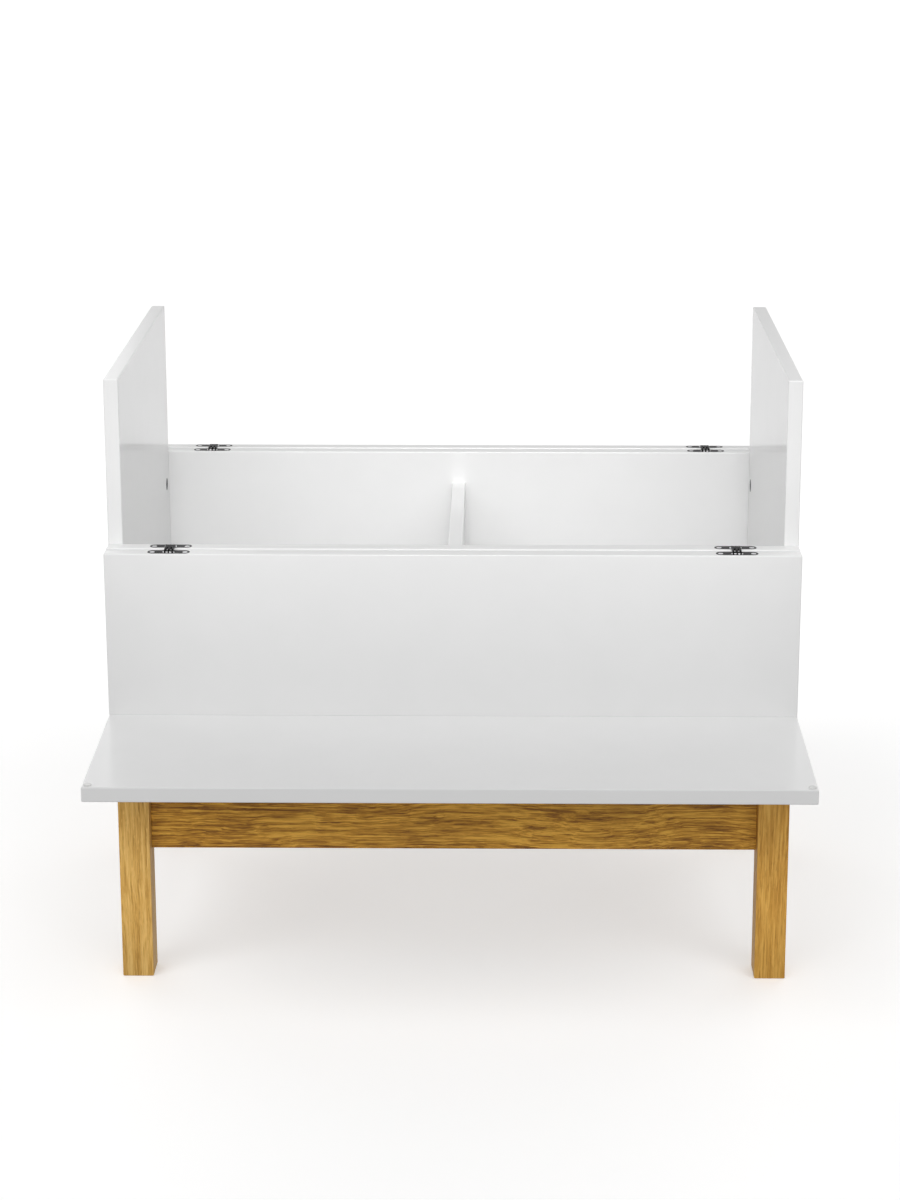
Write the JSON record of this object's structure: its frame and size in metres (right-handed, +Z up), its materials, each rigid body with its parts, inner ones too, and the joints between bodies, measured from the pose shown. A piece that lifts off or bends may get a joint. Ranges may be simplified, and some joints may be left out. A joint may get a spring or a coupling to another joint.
{
  "type": "storage bench with butterfly lids",
  "caption": "White board storage bench on an oak leg frame, with a divider and L-shaped lids that fold out to the front and the back on concealed hinges.",
  "frame": {"origin": "on the floor under the middle of the box", "axes": "+Z up, -Y the front, X along the length; both lids drawn fully open"},
  "size_m": [0.74, 0.8648, 0.677],
  "materials": {
    "white_lacquer": "satin white lacquer over smooth board",
    "leg_oak": "oiled oak, straight grain",
    "apron_oak": "oiled oak, wavy grain",
    "beech": "plain beech",
    "hinge_black": "satin black coating",
    "bright_steel": "bright zinc plate",
    "dark_zinc": "dull die-cast",
    "clear_bumper": "clear soft plastic"
  },
  "bodies": {
    "carcass": {"leg_front_left": "leg_oak", "leg_front_right": "leg_oak", "leg_rear_left": "leg_oak", "leg_rear_right": "leg_oak", "apron_front": "apron_oak", "apron_rear": "apron_oak", "apron_left": "apron_oak", "apron_right": "apron_oak", "corner_blocks": "leg_oak", "frame_dowels": "beech", "box_screws": "bright_steel", "bottom_panel": "white_lacquer", "side_panel_left": "white_lacquer", "side_panel_right": "white_lacquer", "front_wall": "white_lacquer", "rear_wall": "white_lacquer", "divider": "white_lacquer", "box_dowels": "beech", "cam_locks": "dark_zinc", "cam_bolts": "bright_steel", "front_wall_cups": "hinge_black", "front_wall_screws": "bright_steel", "rear_wall_cups": "hinge_black", "rear_wall_screws": "bright_steel"},
    "front_lid": {"front_flap": "white_lacquer", "front_leaf": "white_lacquer", "front_bumpers": "clear_bumper", "front_lid_dowels": "beech", "front_lid_cups": "hinge_black", "front_lid_screws": "bright_steel"},
    "rear_lid": {"rear_flap": "white_lacquer", "rear_leaf": "white_lacquer", "rear_bumpers": "clear_bumper", "rear_lid_dowels": "beech", "rear_lid_cups": "hinge_black", "rear_lid_screws": "bright_steel"},
    "front_wall_hinge_arms": {"front_wall_arms": "hinge_black", "front_wall_pins": "bright_steel"},
    "front_lid_hinge_arms": {"front_lid_arms": "hinge_black", "front_lid_pins": "bright_steel"},
    "rear_wall_hinge_arms": {"rear_wall_arms": "hinge_black", "rear_wall_pins": "bright_steel"},
    "rear_lid_hinge_arms": {"rear_lid_arms": "hinge_black", "rear_lid_pins": "bright_steel"}
  },
  "joints": [
    {"name": "front_lid_hinge", "type": "hinge", "parent": "carcass", "child": "front_lid", "pos_m": [0, -0.2187, 0.4965], "axis": [-1, 0, 0], "range_deg": [0, 181.23]},
    {"name": "front_wall_arms_pivot", "type": "hinge", "parent": "carcass", "child": "front_wall_hinge_arms", "pos_m": [0, -0.212, 0.4898], "axis": [-1, 0, 0], "range_deg": [0, 90.61]},
    {"name": "front_lid_arms_pivot", "type": "hinge", "parent": "front_lid", "child": "front_lid_hinge_arms", "pos_m": [0, -0.22525, 0.48966], "axis": [-1, 0, 0], "range_deg": [-90.61, 0]},
    {"name": "rear_lid_hinge", "type": "hinge", "parent": "carcass", "child": "rear_lid", "pos_m": [0, 0.2187, 0.4965], "axis": [1, 0, 0], "range_deg": [0, 181.23]},
    {"name": "rear_wall_arms_pivot", "type": "hinge", "parent": "carcass", "child": "rear_wall_hinge_arms", "pos_m": [0, 0.212, 0.4898], "axis": [1, 0, 0], "range_deg": [0, 90.61]},
    {"name": "rear_lid_arms_pivot", "type": "hinge", "parent": "rear_lid", "child": "rear_lid_hinge_arms", "pos_m": [0, 0.22525, 0.48966], "axis": [1, 0, 0], "range_deg": [-90.61, 0]}
  ],
  "couplings": [
    {"joint": "front_wall_arms_pivot", "follows": "front_lid_hinge", "ratio": 0.5},
    {"joint": "front_lid_arms_pivot", "follows": "front_lid_hinge", "ratio": -0.5},
    {"joint": "rear_wall_arms_pivot", "follows": "rear_lid_hinge", "ratio": 0.5},
    {"joint": "rear_lid_arms_pivot", "follows": "rear_lid_hinge", "ratio": -0.5}
  ]
}
